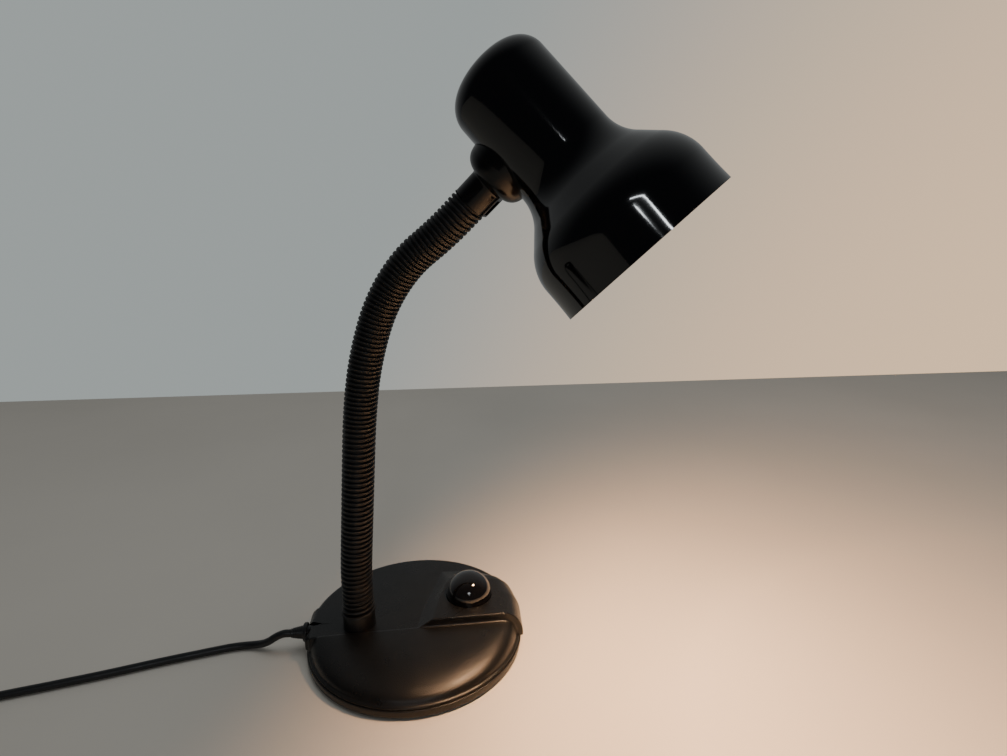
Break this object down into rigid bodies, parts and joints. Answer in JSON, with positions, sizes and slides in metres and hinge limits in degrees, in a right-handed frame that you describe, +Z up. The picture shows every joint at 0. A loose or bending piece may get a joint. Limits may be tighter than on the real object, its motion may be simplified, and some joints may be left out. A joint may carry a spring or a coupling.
{
  "type": "dome shade desk lamp",
  "caption": "Desk lamp with a weighted round base, a push button, a bendable ribbed gooseneck and a gloss dome shade with a round cap over one lamp bulb.",
  "frame": {"origin": "centre of the round base, on the table", "axes": "+Z up; +X along the deck's front edge from the neck to the button; -Y towards the front dome"},
  "size_m": [0.5144, 0.2076, 0.3848],
  "materials": {
    "base_plastic": "satin, fine grain",
    "ballast_iron": "plain",
    "foam": "matte",
    "zinc_steel": "zinc plated",
    "switch_plastic": "moulded",
    "plunger_plastic": "moulded",
    "spring_steel": "bright wire",
    "button_gloss": "gloss",
    "ferrule_black": "satin",
    "cord_black": "satin",
    "brass": "bright",
    "collar_plastic": "semi gloss",
    "shade_paint": "gloss black",
    "holder_plastic": "moulded",
    "bulb_glass": "frosted",
    "bulb_metal": "bright",
    "neck_black": "matte",
    "core_steel": "plain"
  },
  "bodies": {
    "base": {"base_cover": "base_plastic", "base_tray": "base_plastic", "ballast": "ballast_iron", "foam_pad": "foam", "base_screws": "zinc_steel", "switch_body": "switch_plastic", "button_spring": "spring_steel", "neck_ferrule": "ferrule_black", "neck_washer": "zinc_steel", "neck_nut": "zinc_steel", "cord_bushing": "cord_black", "cord": "cord_black", "cord_coil": "cord_black", "cord_tail": "cord_black", "plug_body": "cord_black", "plug_blades": "brass", "neck_sleeve_1": "neck_black", "neck_core_1": "core_steel"},
    "button": {"push_button": "button_gloss", "switch_plunger": "plunger_plastic"},
    "link_2": {"neck_sleeve_2": "neck_black", "neck_core_2": "core_steel"},
    "link_3": {"neck_sleeve_3": "neck_black", "neck_core_3": "core_steel"},
    "link_4": {"neck_sleeve_4": "neck_black", "neck_core_4": "core_steel"},
    "link_5": {"neck_sleeve_5": "neck_black", "neck_core_5": "core_steel"},
    "link_6": {"neck_sleeve_6": "neck_black", "neck_core_6": "core_steel"},
    "link_7": {"neck_sleeve_7": "neck_black", "neck_core_7": "core_steel"},
    "link_8": {"neck_sleeve_8": "neck_black", "neck_core_8": "core_steel"},
    "link_9": {"neck_sleeve_9": "neck_black", "neck_core_9": "core_steel"},
    "link_10": {"neck_sleeve_10": "neck_black", "neck_core_10": "core_steel"},
    "head": {"neck_sleeve_11": "neck_black", "neck_core_11": "core_steel", "head_collar": "collar_plastic", "nipple": "brass", "nipple_washer": "zinc_steel", "nipple_nut": "zinc_steel", "shade": "shade_paint", "holder_bracket": "zinc_steel", "lampholder": "holder_plastic", "lamp_shell": "brass", "centre_contact": "brass", "bulb_glass": "bulb_glass", "bulb_base": "bulb_metal"}
  },
  "joints": [
    {"name": "button_press", "type": "slide", "parent": "base", "child": "button", "axis": [0, 0, -1], "range_m": [0, 0.003], "stiffness_N_per_m": 300, "springref_m": -0.002, "deforming": ["button_spring"]},
    {"name": "neck_bend_1", "type": "hinge", "parent": "base", "child": "link_2", "pos_m": [-0.03943, -0.00553, 0.05715], "axis": [0.373, 0.9278, 0], "range_deg": [-12, 12]},
    {"name": "neck_sway_2", "type": "hinge", "parent": "link_2", "child": "link_3", "pos_m": [-0.03775, -0.0062, 0.08434], "axis": [0.9248, -0.3718, -0.0811], "range_deg": [-12, 12]},
    {"name": "neck_bend_3", "type": "hinge", "parent": "link_3", "child": "link_4", "pos_m": [-0.03568, -0.00703, 0.11151], "axis": [0.373, 0.9278, 0], "range_deg": [-12, 12]},
    {"name": "neck_bend_4", "type": "hinge", "parent": "link_4", "child": "link_5", "pos_m": [-0.03357, -0.00788, 0.13867], "axis": [0.373, 0.9278, 0], "range_deg": [-12, 12]},
    {"name": "neck_sway_5", "type": "hinge", "parent": "link_5", "child": "link_6", "pos_m": [-0.03135, -0.00878, 0.16582], "axis": [0.9228, -0.371, -0.1038], "range_deg": [-12, 12]},
    {"name": "neck_bend_6", "type": "hinge", "parent": "link_6", "child": "link_7", "pos_m": [-0.02795, -0.01014, 0.19282], "axis": [0.373, 0.9278, 0], "range_deg": [-12, 12]},
    {"name": "neck_bend_7", "type": "hinge", "parent": "link_7", "child": "link_8", "pos_m": [-0.02208, -0.0125, 0.21931], "axis": [0.373, 0.9278, 0], "range_deg": [-12, 12]},
    {"name": "neck_sway_8", "type": "hinge", "parent": "link_8", "child": "link_9", "pos_m": [-0.01292, -0.01619, 0.24467], "axis": [0.8234, -0.331, -0.4609], "range_deg": [-12, 12]},
    {"name": "neck_bend_9", "type": "hinge", "parent": "link_9", "child": "link_10", "pos_m": [0.0014, -0.02194, 0.26705], "axis": [0.373, 0.9278, 0], "range_deg": [-12, 12]},
    {"name": "neck_bend_10", "type": "hinge", "parent": "link_10", "child": "head", "pos_m": [0.02059, -0.02966, 0.28473], "axis": [0.373, 0.9278, 0], "range_deg": [-12, 12]}
  ]
}
